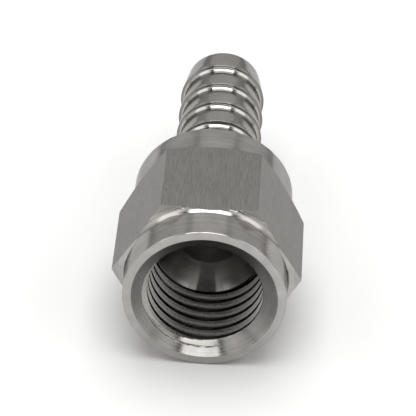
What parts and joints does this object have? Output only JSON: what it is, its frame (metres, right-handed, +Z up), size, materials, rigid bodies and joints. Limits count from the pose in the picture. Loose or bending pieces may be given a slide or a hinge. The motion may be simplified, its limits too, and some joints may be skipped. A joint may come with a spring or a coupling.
{
  "type": "swivel hose barb fitting",
  "caption": "Stainless steel hose barb with a captive swivel hexagon nut, threaded inside for a flare outlet on a carbon dioxide line.",
  "frame": {"origin": "on the surface that the part lies on, under the middle of its length and width", "axes": "+Y along the bore from the nut's mouth to the hose end, +Z up, square to the flat of the hexagon that the part lies on"},
  "size_m": [0.0164, 0.0342, 0.0143],
  "materials": {
    "nut_steel": "drawn stainless steel hexagon with turned collars",
    "stem_steel": "turned stainless steel"
  },
  "bodies": {
    "stem": {"barbed_stem": "stem_steel"},
    "nut": {"swivel_nut": "nut_steel"}
  },
  "joints": [
    {"name": "nut_spin", "type": "hinge", "parent": "stem", "child": "nut", "pos_m": [0, 0, 0.00714], "axis": [0, 1, 0], "continuous": true}
  ]
}
